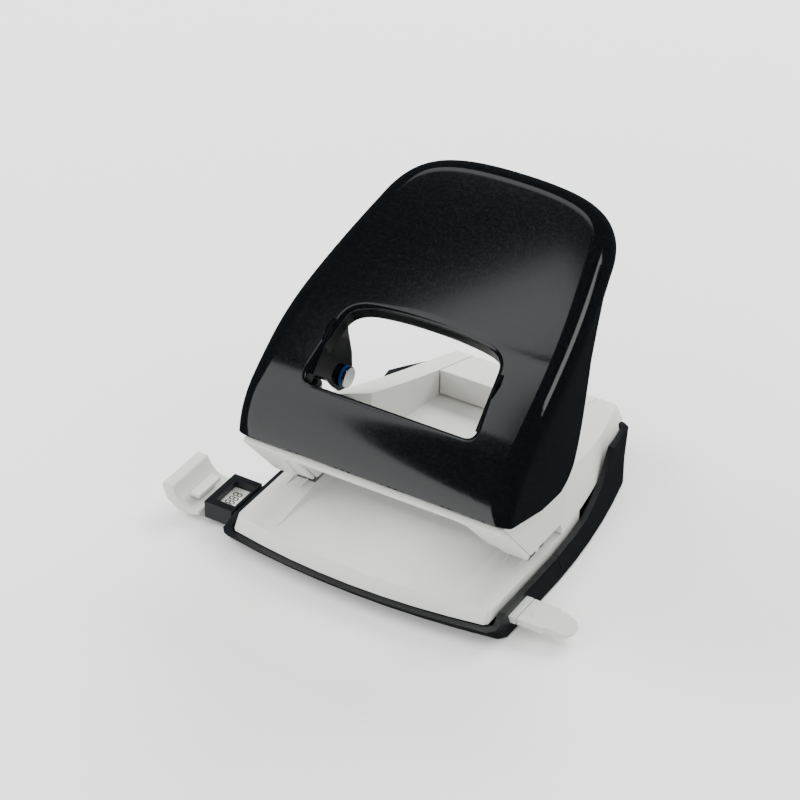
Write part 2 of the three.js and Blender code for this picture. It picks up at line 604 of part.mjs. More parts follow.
for (const [side, s] of sides) {
  const back = (sheet - 1.6) * 1.3;
  const bracket = sidePrism([[-27.2 + back, 39], [-22, 38.6], [-16, 38.8], [-13.6, 42], [-14, 46],
    [-16.6, 50], [-20.7 + back, 53.9], [-23.3 + back, 50.6], [-25.6 + back, 46], [-26.7 + back, 42.4]],
    ...span(s, bracketX, bracketX + lugThick));
  add(`pivot_bracket_${side}`, cut(bracket, axleHole(pivot.r + runningGap)), steel);
  const inner = lugX - 2.4;
  const neck = drive.r - 0.95;
  const pin = join(rodX(drive.r, ...span(s, inner, inner + 1), drive.y, driveZ, 24),
    rodX(neck, ...span(s, inner + 0.5, lugX + lugThick + gap + 1), drive.y, driveZ, 24),
    rodX(drive.r, ...span(s, lugX + lugThick + gap, bodyHalf + 0.6), drive.y, driveZ, 24));
  add(`drive_pin_${side}`, pin, chrome);
  add(`drive_pin_collar_${side}`, cut(rodX(drive.r + 0.1, ...span(s, inner + 1.15, lugX - 0.2), drive.y, driveZ, 24),
    rodX(neck + runningGap, -90, 90, drive.y, driveZ, 24)), bluePlastic);
}

// ---- paper guide: bar, stop, end tongue, scale strip and the window bracket ----
const bar = { x0: -stopFace + 6, x1: baseHalf + 8, y0: barY - barWidth / 2, y1: barY + barWidth / 2 };
const barLow = barTop - barThick;
const tongueX = baseHalf + 0.4;
add('guide_bar', cut(box(bar.x0, tongueX, bar.y0, bar.y1, barLow, barTop),
  box(bar.x0 - 1, -30, bar.y0 + 2, bar.y1 - 2, barTop - 0.7, barTop + 1)), guidePlastic);
add('scale_strip', box(bar.x0 + 0.3, -30.3, bar.y0 + 2.3, bar.y1 - 2.3, barTop - 0.68, barTop - 0.1),
  labelPlastic);
const stepX = tongueX + 9.6;
const tipX = tongueX + 18;
const tip = shapeOf([[tongueX + gap, bar.y0 + 0.2], [stepX, bar.y0 + 0.2], [stepX + 0.8, bar.y0 + 1],
  [tipX - 4.5, bar.y0 + 1.2]]);
tip.quadraticCurveTo(tipX, bar.y0 + 1.4, tipX, barY);
tip.quadraticCurveTo(tipX, bar.y1 - 1.4, tipX - 4.5, bar.y1 - 1.2);
tip.lineTo(stepX + 0.8, bar.y1 - 1);
tip.lineTo(stepX, bar.y1 - 0.2);
tip.lineTo(tongueX + gap, bar.y1 - 0.2);
add('guide_tongue', prism(tip, zUp, barLow, barTop), guidePlastic);

const stopProfile = [[-stopFace + 5.6, barLow - 0.6], [-stopFace + 5.6, barTop - 1.4],
  [-stopFace + 2, barTop - 1.2], [-stopFace - 1, barTop - 0.2], [-stopFace - 3.2, barTop + 2],
  [-stopFace - 4.6, barTop + 5], [-stopFace - 8.6, barTop + 5.2], [-stopFace - 9, barTop + 4],
  [-stopFace - 7, barTop - 1], [-stopFace - 3, barLow - 1.4], [-stopFace + 2, barLow - 1.6]];
const alongY = new THREE.Matrix4().makeBasis(
  new THREE.Vector3(1, 0, 0), new THREE.Vector3(0, 0, 1), new THREE.Vector3(0, -1, 0));
const stopHalf = 10.4;
const stop = cut(prism(shapeOf(stopProfile), alongY, -barY - stopHalf, -barY + stopHalf),
  box(bar.x0 - gap, bar.x0 + 20, bar.y0 - gap, bar.y1 + gap, -5, 30));
add('guide_stop', stop, guidePlastic);
add('stop_block', box(-stopFace - 0.9, -stopFace + 3, barY - 6.2, barY + 6.2, barTop + 0.1, barTop + 1.5),
  guidePlastic);

const bracketTop = barTop + 2.6;
const bracketWing = { x0: -baseTopHalf - 11.6, x1: -baseTopHalf - flare * 4 + 0.6, half: 9 };
const wing = box(bracketWing.x0, bracketWing.x1, barY - bracketWing.half, barY + bracketWing.half,
  barLow - 1.4, bracketTop);
add('guide_window', cut(wing, barSlot(-90, 0),
  box(bracketWing.x0 + 2.6, -baseTopHalf - 1.6, barY - 5.9, barY + 5.9, barTop - 1, 30),
  loft(ringHeights.map((z) => baseRing(-gap, z)))), blackPlastic);
export default group;
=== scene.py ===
import math
import json
import bpy
from mathutils import Matrix, Vector

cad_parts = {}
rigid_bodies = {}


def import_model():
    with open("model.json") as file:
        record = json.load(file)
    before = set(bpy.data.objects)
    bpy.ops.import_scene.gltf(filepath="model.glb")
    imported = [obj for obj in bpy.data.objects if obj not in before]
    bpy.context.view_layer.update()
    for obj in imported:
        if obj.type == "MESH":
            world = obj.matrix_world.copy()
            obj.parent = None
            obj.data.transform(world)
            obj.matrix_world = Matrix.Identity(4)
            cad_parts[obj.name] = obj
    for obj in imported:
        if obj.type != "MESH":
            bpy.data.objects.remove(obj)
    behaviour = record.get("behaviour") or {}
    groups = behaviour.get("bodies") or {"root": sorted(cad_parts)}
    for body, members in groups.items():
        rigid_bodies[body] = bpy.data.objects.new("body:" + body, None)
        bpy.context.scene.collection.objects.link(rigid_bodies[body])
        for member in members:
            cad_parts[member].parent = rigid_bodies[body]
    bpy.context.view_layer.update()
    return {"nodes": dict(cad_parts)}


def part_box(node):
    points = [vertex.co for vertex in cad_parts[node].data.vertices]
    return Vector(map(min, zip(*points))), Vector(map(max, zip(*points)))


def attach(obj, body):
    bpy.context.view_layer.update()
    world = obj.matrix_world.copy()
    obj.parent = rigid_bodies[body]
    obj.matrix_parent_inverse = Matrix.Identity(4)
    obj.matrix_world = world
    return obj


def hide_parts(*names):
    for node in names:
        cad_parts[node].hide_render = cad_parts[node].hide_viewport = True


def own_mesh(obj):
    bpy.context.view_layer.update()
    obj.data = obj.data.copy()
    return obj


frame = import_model()

# ---- base shell -------------------------------------------------------------
# The black tray that the punch stands in: injection-moulded ABS with leaning
# walls, drawn straight from its mould, so every edge has a small round.


def linear(hex_value):
    """An sRGB hex value as the linear colour that the shaders use."""
    channels = [(hex_value >> shift & 255) / 255 for shift in (16, 8, 0)]
    return [c / 12.92 if c <= 0.04045 else ((c + 0.055) / 1.055) ** 2.4
            for c in channels] + [1]


def node(material, kind, values=(), links=(), **settings):
    """Adds one shader node with its settings, socket values and incoming links."""
    tree = material.node_tree
    added = tree.nodes.new(kind)
    for name, value in settings.items():
        setattr(added, name, value)
    for socket, value in dict(values).items():
        added.inputs[socket].default_value = value
    for socket, source in dict(links).items():
        tree.links.new(source, added.inputs[socket])
    return added


def new_material(name, **sockets):
    """A material with its shader's sockets set, underscores standing for spaces."""
    material = bpy.data.materials.new(name)
    material.use_nodes = True
    shader = material.node_tree.nodes["Principled BSDF"]
    for socket, value in sockets.items():
        shader.inputs[socket.replace("_", " ")].default_value = value
    return material, shader


def feed(material, shader, socket, source):
    """Links a node's output to a socket of the shader."""
    material.node_tree.links.new(source, shader.inputs[socket])


def moulded(name, shade, lighter, rough, grain_mm, depth_mm, **sockets):
    """Moulded plastic: a slow drift of tone, and the fine grain of a spark-eroded mould."""
    drift_scale = 28  # one patch of tone is about 36 mm across
    material, shader = new_material(name, Roughness=rough, **sockets)
    place = node(material, "ShaderNodeTexCoord").outputs["Object"]
    drift = node(material, "ShaderNodeTexNoise", {"Scale": drift_scale, "Detail": 3},
                 {"Vector": place})
    tone = node(material, "ShaderNodeMix", {"A": linear(shade), "B": linear(lighter)},
                {"Factor": drift.outputs["Fac"]}, data_type="RGBA")
    feed(material, shader, "Base Color", tone.outputs["Result"])
    grain = node(material, "ShaderNodeTexNoise",
                 {"Scale": 1000 / grain_mm, "Detail": 2, "Roughness": 0.6}, {"Vector": place})
    gloss = node(material, "ShaderNodeMapRange", {"To Min": rough - 0.05, "To Max": rough + 0.06},
                 {"Value": grain.outputs["Fac"]})
    feed(material, shader, "Roughness", gloss.outputs["Result"])
    relief = node(material, "ShaderNodeBump", {"Strength": 0.5, "Distance": depth_mm / 1000},
                  {"Height": grain.outputs["Fac"]})
    feed(material, shader, "Normal", relief.outputs["Normal"])
    return material


# Black ABS, IOR 1.53: satin, with a short soft highlight along each rounded edge.
base_abs = moulded("moulded_black_abs", 0x101315, 0x181B1E, 0.40, 0.45, 0.006, IOR=1.53)


def lone(piece):
    """Makes one object the only selected and the active one."""
    bpy.ops.object.select_all(action="DESELECT")
    piece.select_set(True)
    bpy.context.view_layer.objects.active = piece


def shaped(piece, kind, **settings):
    """Adds a modifier and applies it."""
    lone(piece)
    modifier = piece.modifiers.new(kind.lower(), kind)
    for name, value in settings.items():
        setattr(modifier, name, value)
    bpy.ops.object.modifier_apply(modifier=modifier.name)


def edit(piece, *steps):
    """Runs operators in edit mode on the whole of a piece."""
    lone(piece)
    bpy.ops.object.mode_set(mode="EDIT")
    bpy.ops.mesh.select_mode(type="FACE")
    bpy.ops.mesh.select_all(action="SELECT")
    for step, options in steps:
        step(**options)
    bpy.ops.object.mode_set(mode="OBJECT")


def smooth(piece, degrees):
    """Shades a piece smooth, apart from edges sharper than an angle."""
    lone(piece)
    bpy.ops.object.shade_smooth_by_angle(angle=math.radians(degrees))


def rounded(piece, edge, segments=3, degrees=30):
    """Rounds the sharp edges and leaves the flat faces flat."""
    shaped(piece, "BEVEL", width=edge / 1000, segments=segments, limit_method="ANGLE",
           angle_limit=math.radians(degrees), use_clamp_overlap=True)
    smooth(piece, 35)
    shaped(piece, "WEIGHTED_NORMAL", keep_sharp=True)


def blank(name, source):
    """A copy of a CAD node with its loose triangles merged into whole faces."""
    piece = bpy.data.objects.new(name, frame["nodes"][source].data.copy())
    bpy.context.scene.collection.objects.link(piece)
    edit(piece, (bpy.ops.mesh.remove_doubles, {"threshold": 2e-5}),
         (bpy.ops.mesh.dissolve_limited, {"angle_limit": math.radians(1)}))
    return piece


def moulding(name, source, edge, segments=3, degrees=30):
    """A piece with the CAD node's walls and openings, rounded at its edges."""
    piece = blank(name, source)
    rounded(piece, edge, segments, degrees)
    return piece


def fit(piece, body, slot, material, *sources):
    """Gives a piece its material and body, and hides the CAD nodes it stands for. The slot is not
    used.
    """
    piece.data.materials.clear()
    piece.data.materials.append(material)
    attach(piece, body)
    if sources:
        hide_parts(*sources)
    return piece


base_edge = 0.4
fit(moulding("base_tray_front", "base_shell", base_edge), "body", "base_plastic", base_abs,
    "base_shell")

# ---- chip tray --------------------------------------------------------------
# The rear part of the black base, moulded in the same ABS. It swings down about
# two steel pins to drop the paper chips.
fit(moulding("base_tray_rear", "chip_tray", base_edge), "tray", "base_plastic", base_abs,
    "chip_tray")

# ---- tray hinge pins --------------------------------------------------------
# Cut lengths of zinc-plated wire rod, pushed through the lugs of the base. The chip
# tray swings on them.


def plated(name, shade, rough, streak_mm):
    """Plated or ground steel: faint streaks that follow the grinding, and a little mottling."""
    material, shader = new_material(name, Metallic=1, Roughness=rough,
                                    Base_Color=linear(shade))
    place = node(material, "ShaderNodeTexCoord").outputs["Object"]
    streak_stretch = 0.12
    along = node(material, "ShaderNodeMapping", {"Scale": (1, 1, streak_stretch)},
                 {"Vector": place})
    streaks = node(material, "ShaderNodeTexNoise", {"Scale": 1000 / streak_mm, "Detail": 3},
                   {"Vector": along.outputs["Vector"]})
    gloss = node(material, "ShaderNodeMapRange", {"To Min": rough - 0.08, "To Max": rough + 0.12},
                 {"Value": streaks.outputs["Fac"]})
    feed(material, shader, "Roughness", gloss.outputs["Result"])
    relief = node(material, "ShaderNodeBump", {"Strength": 0.35, "Distance": 0.00001},
                  {"Height": streaks.outputs["Fac"]})
    feed(material, shader, "Normal", relief.outputs["Normal"])
    return material


# Zinc-plated steel: a pale, slightly dull metal.
zinc = plated("zinc_plated_steel", 0xAEB2B5, 0.34, 0.3)
for side in ("left", "right"):
    pin = moulding("hinge_pin_" + side, "tray_hinge_pin_" + side, 0.25, 2)
    fit(pin, "body", "steel", zinc, "tray_hinge_pin_" + side)

# ---- rubber strips ----------------------------------------------------------
# Non-slip strips of black rubber, cut from sheet and glued into shallow seats under the
# base and the chip tray.

# Rubber, IOR 1.52: nearly matt, with fine pits under 1 mm across.
rubber, rubber_shader = new_material("black_rubber", Roughness=0.85, IOR=1.52,
                                     Base_Color=linear(0x1A1B1C))
rubber_place = node(rubber, "ShaderNodeTexCoord").outputs["Object"]
rubber_pits = node(rubber, "ShaderNodeTexNoise", {"Scale": 1800, "Detail": 2},
                   {"Vector": rubber_place})
rubber_relief = node(rubber, "ShaderNodeBump", {"Strength": 0.6, "Distance": 0.00003},
                     {"Height": rubber_pits.outputs["Fac"]})
feed(rubber, rubber_shader, "Normal", rubber_relief.outputs["Normal"])
for place, body in (("front", "body"), ("middle", "tray"), ("rear", "tray")):
    strip = moulding("grip_strip_" + place, "rubber_strip_" + place, 0.2, 2)
    fit(strip, body, "rubber", rubber, "rubber_strip_" + place)

# ---- steel frames -----------------------------------------------------------
# Stamped C-shaped plates of zinc-plated steel, one beside each punch, set in the body.
# They carry the axles that the handle turns on.
for side in ("left", "right"):
    plate = moulding("c_frame_" + side, "steel_frame_" + side, 0.2, 2)
    fit(plate, "body", "steel", zinc, "steel_frame_" + side)

# ---- deck -------------------------------------------------------------------
# The paper table, moulded in light grey ABS with a satin face, and set into the base.
# Its middle is sunk, so that the sheet can be picked up.

# Light grey ABS, IOR 1.53: even and a little warm, with a wide soft sheen.
body_abs = moulded("moulded_grey_abs", 0xD3D3CE, 0xDCDCD7, 0.46, 0.5, 0.006, IOR=1.53)


def combined(piece, tool, operation):
    """Cuts a tool out of a piece, or fuses it on, and uses the tool up."""
    shaped(piece, "BOOLEAN", object=tool, operation=operation, solver="EXACT")
    bpy.data.objects.remove(tool)
    edit(piece, (bpy.ops.mesh.remove_doubles, {"threshold": 1e-6}),
         (bpy.ops.mesh.dissolve_limited, {"angle_limit": math.radians(1)}))


deck = blank("paper_deck", "deck")
# The sunk middle falls towards the back between sloping sides that widen as it deepens.
# Each corner of the cutter, as front or back and low or high: half width, place, height.
deck_top = 9.7
sink_deep = 2.7
above_deck = 2.3
sink_front = -32
sink_back = 12
sink_corners = {(-1, -1): (33.0, sink_front, deck_top),
                (1, -1): (33.0, sink_back, deck_top - sink_deep),
                (-1, 1): (35.9, sink_front, deck_top + above_deck),
                (1, 1): (39.3, sink_back, deck_top + above_deck)}
bpy.ops.object.select_all(action="DESELECT")
bpy.ops.mesh.primitive_cube_add()
sink = bpy.context.object
for vertex in sink.data.vertices:
    x, y, z = sink_corners[(round(vertex.co.y), round(vertex.co.z))]
    vertex.co = Vector((math.copysign(x, vertex.co.x), y, z)) / 1000
combined(deck, sink, "DIFFERENCE")
rounded(deck, 0.35)
fit(deck, "body", "body_plastic", body_abs, "deck")

# Low ribs beside each die, rising towards the back, that guide the paper into the slot.
rib_front = -12
rib_back = -5.6
rib_rise = 0.9
rib_foot = deck_top - 0.1
for name, x, width in (("outer", 43.3, 0.9), ("inner", 38.2, 0.8)):
    for side, x_sign in (("left", -1), ("right", 1)):
        bpy.ops.object.select_all(action="DESELECT")
        bpy.ops.mesh.primitive_cube_add()
        rib = bpy.context.object
        rib.name = "deck_rib_" + name + "_" + side
        for vertex in rib.data.vertices:
            across, front_to_back, up = vertex.co
            height = rib_rise if front_to_back > 0 else 0
            vertex.co = Vector((x_sign * x + across * width / 2,
                                rib_back if front_to_back > 0 else rib_front,
                                rib_foot + height if up > 0 else rib_foot - 0.2)) / 1000
        rounded(rib, 0.18, 2)
        fit(rib, "body", "body_plastic", body_abs)

# ---- dies -------------------------------------------------------------------
# Hardened and ground tool steel plates, let into the deck. The punches shear the paper
# in their bores.
ground = plated("ground_tool_steel", 0x9DA1A4, 0.26, 0.25)
for side in ("left", "right"):
    plate = moulding("die_" + side, "die_plate_" + side, 0.12, 2)
    fit(plate, "body", "steel", ground, "die_plate_" + side)

# ---- body cover, jaws, rear lid and nose ------------------------------------
# Moulded in the same grey ABS: the housing behind the punches, with its sunk middle and
# the jaws over the paper slot, the wedge that closes the back, and the sloping nose
# plate in front, which clips on.


def shifted(piece, chosen, shift_mm):
    """Moves the corners of the chosen faces, so that a joint closes to a hairline."""
    corners = {v for p in piece.data.polygons if chosen(p) for v in p.vertices}
    for v in corners:
        piece.data.vertices[v].co += Vector(shift_mm) / 1000


body_edge = 0.5
jaw_back = 0.0119
jaw_overlap = 0.6
housing = blank("body_housing", "body_cover")
for side in ("left", "right"):
    jaw = blank("jaw_" + side + "_blank", "jaw_" + side)
    shifted(jaw, lambda p: p.normal.y > 0.99 and p.center.y > jaw_back, (0, jaw_overlap, 0))
    combined(housing, jaw, "UNION")
rounded(housing, body_edge)
fit(housing, "body", "body_plastic", body_abs, "body_cover", "jaw_left", "jaw_right")
fit(moulding("rear_wedge", "rear_lid", body_edge), "body", "body_plastic", body_abs, "rear_lid")
nose = blank("nose_plate", "nose_cover")
nose_out = Vector((0, -21.5, -17.6)).normalized()
nose_gap = 0.27
shifted(nose, lambda p: p.normal.dot(nose_out) < -0.98, nose_out * -nose_gap)
rounded(nose, 0.4)
fit(nose, "body", "body_plastic", body_abs, "nose_cover")
# A small round boss at each end of the paper slot, moulded on the jaw.
boss_radius, boss_length = 0.0013, 0.0012
boss_out, boss_back, boss_up = 0.0468, -0.0044, 0.0152
for side, x_sign in (("left", -1), ("right", 1)):
    bpy.ops.object.select_all(action="DESELECT")
    bpy.ops.mesh.primitive_cylinder_add(vertices=32, radius=boss_radius, depth=boss_length,
                                        location=(x_sign * boss_out, boss_back, boss_up),
                                        rotation=(0, math.pi / 2, 0))
    boss = bpy.context.object
    boss.name = "slot_boss_" + side
    bpy.ops.object.transform_apply()
    rounded(boss, 0.3, 3)
    fit(boss, "body", "body_plastic", body_abs)

# ---- punches, caps and guides -----------------------------------------------
# Ground steel punches with a notched cutting end, a clip that holds the spring, a
# turned guide bush pressed into the jaw, and the axle and plate of the handle's hinge.
for side in ("left", "right"):
    for name, source, body in (("cutter_", "punch_", side + "_punch"),
                               ("clip_", "punch_cap_", side + "_punch"),
                               ("bush_", "punch_guide_", "body"),
                               ("axle_", "pivot_axle_", "body"),
                               ("hinge_plate_", "pivot_bracket_", "handle")):
        turned = moulding(name + side, source + side, 0.15, 2)
        finish = ground if name in ("cutter_", "axle_") else zinc
        fit(turned, body, "steel", finish, source + side)

# ---- punch springs ----------------------------------------------------------
# Six turns of bright spring wire round each punch, between the bush and the clip,
# which close up as the punch goes down.
bright = plated("bright_steel", 0xC4C8CA, 0.17, 0.4)
for side in ("left", "right"):
    low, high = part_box("punch_spring_" + side)
    middle = (low + high) / 2
    wire = 0.0004
    turns = 6
    bpy.ops.object.select_all(action="DESELECT")
    bpy.ops.mesh.primitive_circle_add(vertices=12, radius=wire, rotation=(math.pi / 2, 0, 0),
                                      location=((high.x - low.x) / 2 - wire, 0, 0))
    coil = bpy.context.object
    coil.name = "return_spring_" + side
    bpy.ops.object.transform_apply()
    shaped(coil, "SCREW", screw_offset=(high.z - low.z - 2 * wire) / turns, iterations=turns,
           steps=28, render_steps=28, use_merge_vertices=True)
    lone(coil)
    bpy.ops.object.mode_set(mode="EDIT")
    bpy.ops.mesh.select_mode(type="EDGE")
    bpy.ops.mesh.select_all(action="DESELECT")
    bpy.ops.mesh.select_non_manifold()
    bpy.ops.mesh.edge_face_add()
    bpy.ops.mesh.select_all(action="SELECT")
    bpy.ops.mesh.normals_make_consistent(inside=False)
    bpy.ops.object.mode_set(mode="OBJECT")
    coil.data.transform(Matrix.Translation((middle.x, middle.y, low.z + wire)))
    smooth(coil, 60)
    fit(coil, "body", "steel", bright, "punch_spring_" + side)
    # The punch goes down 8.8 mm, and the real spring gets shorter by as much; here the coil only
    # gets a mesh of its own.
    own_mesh(coil)

# ---- handle -----------------------------------------------------------------
# One pressing of 1.6 mm sheet steel: a flat front that curls down to the nose, rolled
# edges, side flanges that straddle the body, and a hand window whose edge is folded
# inwards. Stoved in black lacquer with a fine flake.

# Lengths are in millimetres, along and out from its leaning front.
lean = math.radians(64.6)
lean_up = Vector((0, math.sin(lean), math.cos(lean)))
lean_out = Vector((0, -math.cos(lean), math.sin(lean)))
flat_start = Vector((0, 10.8, 77.7))
plane_offset = flat_start.dot(lean_out)
sheet = 1.6
roll = 6.0
side_half = 50.2
tip = 104.6
window_middle = Vector((0, 25))
bottom = -16.0


def front_profile():
    """How far along and how far out the front lies, from the flat part down to the nose."""
    points = []
    place = flat_start.copy()
    start = lean
    steps = 48
    straight_end = 14
    for radius, end in ((144.9, math.radians(50.2)), (24.6, 0.0)):
        for i in range(steps):
            points.append((place.dot(lean_up), place.dot(lean_out) - plane_offset))
            a = start + (end - start) * i / steps
            b = start + (end - start) * (i + 1) / steps
            place.y -= radius * (math.cos(b) - math.cos(a))
            place.z -= radius * (math.sin(a) - math.sin(b))
        start = end
    points.append((place.dot(lean_up), place.dot(lean_out) - plane_offset))
    place.z -= straight_end
    points.append((place.dot(lean_up), place.dot(lean_out) - plane_offset))
    return points


profile = front_profile()


def between(table, at):
    """A value read from a table of (place, value) pairs, straight between its rows."""
    rows = sorted(table)
    if at <= rows[0][0]:
        return rows[0][1]
    for (a, low), (b, high) in zip(rows, rows[1:]):
        if at <= b:
            return low + (high - low) * (at - a) / (b - a)
    return rows[-1][1]


def bezier(points, steps):
    """Points along a Bezier curve of any degree, without its last point."""
    found = []
    for i in range(steps):
        t = i / steps
        row = [Vector(p) for p in points]
        while len(row) > 1:
            row = [a.lerp(b, t) for a, b in zip(row, row[1:])]
        found.append(row[0])
    return found


def mirrored(half):
    """Adds the left half to the right half of an outline, from and to the middle line."""
    return half + [Vector((-p.x, p.y)) for p in reversed(half) if p.x > 1e-6]


def normals_of(outline):
    """The outward direction at each point of a closed outline."""
    found = []
    for before, after in zip(outline[-1:] + outline[:-1], outline[1:] + outline[:1]):
        run = (after - before).normalized()
        found.append(Vector((run.y, -run.x)))
    return found


right_side = (bezier([(0, bottom), (side_half, bottom)], 70)
              + bezier([(side_half, bottom), (side_half, 20)], 40)
              + bezier([(side_half, 20), (side_half, 44), (side_half - 7.8, 80)], 26)
              + bezier([(side_half - 7.8, 80), (side_half - 11, tip - 5),
                        (side_half - 22, tip), (0, tip)], 30)
              + [Vector((0, tip))])
window_half = 31.2
window_top = 40.6
sill = 9.3
window_right = (bezier([(0, sill), (window_half - 4, sill)], 24)
                + bezier([(window_half - 4, sill), (window_half, sill),
                          (window_half - 0.4, sill + 4)], 8)
                + bezier([(window_half - 0.4, sill + 4),
                          (window_half - 2.9, window_top - 8)], 14)
                + bezier([(window_half - 2.9, window_top - 8),
                          (window_half - 3.7, window_top - 2.2),
                          (window_half - 11.7, window_top - 1)], 12)
                + bezier([(window_half - 11.7, window_top - 1),
                          (window_half - 20, window_top + 0.3), (0, window_top + 0.3)], 16)
                + [Vector((0, window_top + 0.3))])
outer = mirrored(right_side)
window = mirrored(window_right)
outer_normals = normals_of(outer)
window_normals = normals_of(window)


def bearing(point):
    """The angle at which a point lies from the middle of the window."""
    away = point - window_middle
    return math.atan2(away.y, away.x) % (2 * math.pi)


def along(outline, normals, angle):
    """Where a ray from the middle of the window meets an outline, and the normal there."""
    direction = Vector((math.cos(angle), math.sin(angle)))
    best = None
    for i, a in enumerate(outline):
        j = (i + 1) % len(outline)
        b = outline[j]
        run = b - a
        turn = direction.x * run.y - direction.y * run.x
        if abs(turn) < 1e-12:
            continue
        reach = a - window_middle
        far = (reach.x * run.y - reach.y * run.x) / turn
        u = (reach.x * direction.y - reach.y * direction.x) / turn
        if far > 0 and -1e-4 <= u <= 1 + 1e-4:
            best = (window_middle + direction * far, normals[i].lerp(normals[j], u).normalized())
    return best


# The flat front ends where the edge starts to roll, except along the bottom.
roll_start = [p - n * roll if p.y > bottom + 0.01 else p.copy()
              for p, n in zip(outer, outer_normals)]
for p in roll_start:
    p.x = max(-side_half + roll, min(side_half - roll, p.x))
# Where the flange's free edge lies: along the handle, and out from the flat front.
edge_depth = [(-16, -40), (5.3, -31.1), (12.3, -35.1), (18.3, -38.2), (23.2, -38.2),
              (28.2, -36.7), (33, -33.3), (38.4, -28.9), (46.1, -22.2), (54.2, -15.5),
              (62.9, -11), (72, -7.5), (104, -7.5)]


def pressed(point, depth):
    """Puts a point of the flat pattern in place: depth is measured from the front surface."""
    out = between(profile, point.y) + depth + plane_offset
    return (Vector((point.x, 0, 0)) + lean_up * point.y + lean_out * out) / 1000


# Each column of the mesh runs from the window's folded lip, over the front and the
# rolled edge, to the flange's free edge. Columns closer than closest are left out.
closest = 0.004
columns = sorted(bearing(p) for p in roll_start + window)
beyond = columns[0] + 7  # more than a whole turn on, so the last column always stays
angles = [a for a, b in zip(columns, columns[1:] + [beyond]) if b - a > closest]
fold = 1.3
lip = 6.0
fold_steps = 6
across = 30
roll_steps = 8
flange_steps = 8
least_flange = 1.5
vertices = []
faces = []
for angle in angles:
    rim, rim_normal = along(window, window_normals, angle)
    start, start_normal = along(roll_start, outer_normals, angle)
    row = [(rim, -lip), (rim, -lip * 0.75), (rim, -lip * 0.5), (rim, -fold * 1.6)]
    for i in range(fold_steps):
        turn = math.pi / 2 * i / (fold_steps - 1)
        row.append((rim + rim_normal * fold * (1 - math.cos(turn)),
                    -fold * (1 - math.sin(turn))))
    near = rim + rim_normal * fold
    row += [(near.lerp(start, (i + 1) / across), 0.0) for i in range(across)]
    rolls = start.y > bottom + 0.01
    if rolls or abs(start.x) > side_half - roll - 0.01:
        side_normal = start_normal if rolls else Vector((math.copysign(1, start.x), 0))
        for i in range(1, roll_steps + 1):
            turn = math.pi / 2 * i / roll_steps
            row.append((start + side_normal * roll * math.sin(turn),
                        -roll * (1 - math.cos(turn))))
        edge = start + side_normal * roll
        deepest = between(edge_depth, edge.y) - between(profile, edge.y)
        deepest = min(deepest, -roll - least_flange)
        row += [(edge, -roll + (deepest + roll) * i / flange_steps)
                for i in range(1, flange_steps + 1)]
    vertices.append([pressed(*p) for p in row])
index = []
total = 0
for row in vertices:
    index.append(list(range(total, total + len(row))))
    total += len(row)
for i, row in enumerate(index):
    following = index[(i + 1) % len(index)]
    for j in range(min(len(row), len(following)) - 1):
        faces.append((row[j], following[j], following[j + 1], row[j + 1]))
handle_mesh = bpy.data.meshes.new("handle_pressing")
handle_mesh.from_pydata([v for row in vertices for v in row], [], faces)
handle = bpy.data.objects.new("handle_pressing", handle_mesh)
bpy.context.scene.collection.objects.link(handle)
# The lower edge is trimmed on a line that falls towards the back.
trim_point = Vector((0, -28.6, 38.75)) / 1000
trim_normal = Vector((0, -5.1, -19.4)).normalized()
edit(handle, (bpy.ops.mesh.remove_doubles, {"threshold": 1e-6}),
     (bpy.ops.mesh.normals_make_consistent, {"inside": False}),
     (bpy.ops.mesh.bisect, {"plane_co": trim_point, "plane_no": trim_normal,
                            "clear_outer": True}))
facing = sum(p.normal.z * p.area for p in handle.data.polygons)
if facing < 0:
    edit(handle, (bpy.ops.mesh.flip_normals, {}))
shaped(handle, "SOLIDIFY", thickness=sheet / 1000, offset=-1, use_even_offset=True)
shaped(handle, "BEVEL", width=0.0004, segments=2, limit_method="ANGLE",
       angle_limit=math.radians(50))
smooth(handle, 50)
shaped(handle, "WEIGHTED_NORMAL", keep_sharp=True)

# Stoved lacquer over pressed steel, IOR 1.5: deep black and nearly mirror smooth, with
# an aluminium flake of about 0.1 mm, drawn at 0.3 mm as a faint change of tone and gloss.
lacquer, lacquer_shader = new_material("black_flake_lacquer", Roughness=0.1, IOR=1.5)
lacquer_place = node(lacquer, "ShaderNodeTexCoord").outputs["Object"]
flake_mm = 0.3
flakes = node(lacquer, "ShaderNodeTexVoronoi", {"Scale": 1000 / flake_mm},
              {"Vector": lacquer_place})
flake_share = node(lacquer, "ShaderNodeMapRange", {"From Min": 0.55, "From Max": 1.0},
                   {"Value": flakes.outputs["Color"]})
flake_tone = node(lacquer, "ShaderNodeMix", {"A": linear(0x05080A), "B": linear(0x14181A)},
                  {"Factor": flake_share.outputs["Result"]}, data_type="RGBA")
feed(lacquer, lacquer_shader, "Base Color", flake_tone.outputs["Result"])
flake_gloss = node(lacquer, "ShaderNodeMapRange", {"To Min": 0.08, "To Max": 0.13},
                   {"Value": flake_share.outputs["Result"]})
feed(lacquer, lacquer_shader, "Roughness", flake_gloss.outputs["Result"])
# Orange peel, the faint waves of a sprayed and stoved coat, about 2.4 mm from crest to crest.
orange_peel = node(lacquer, "ShaderNodeTexNoise", {"Scale": 420, "Detail": 1},
                   {"Vector": lacquer_place})
peel_relief = node(lacquer, "ShaderNodeBump", {"Strength": 0.1, "Distance": 0.00001},
                   {"Height": orange_peel.outputs["Fac"]})
feed(lacquer, lacquer_shader, "Normal", peel_relief.outputs["Normal"])
fit(handle, "handle", "handle_lacquer", lacquer, "handle_shell")
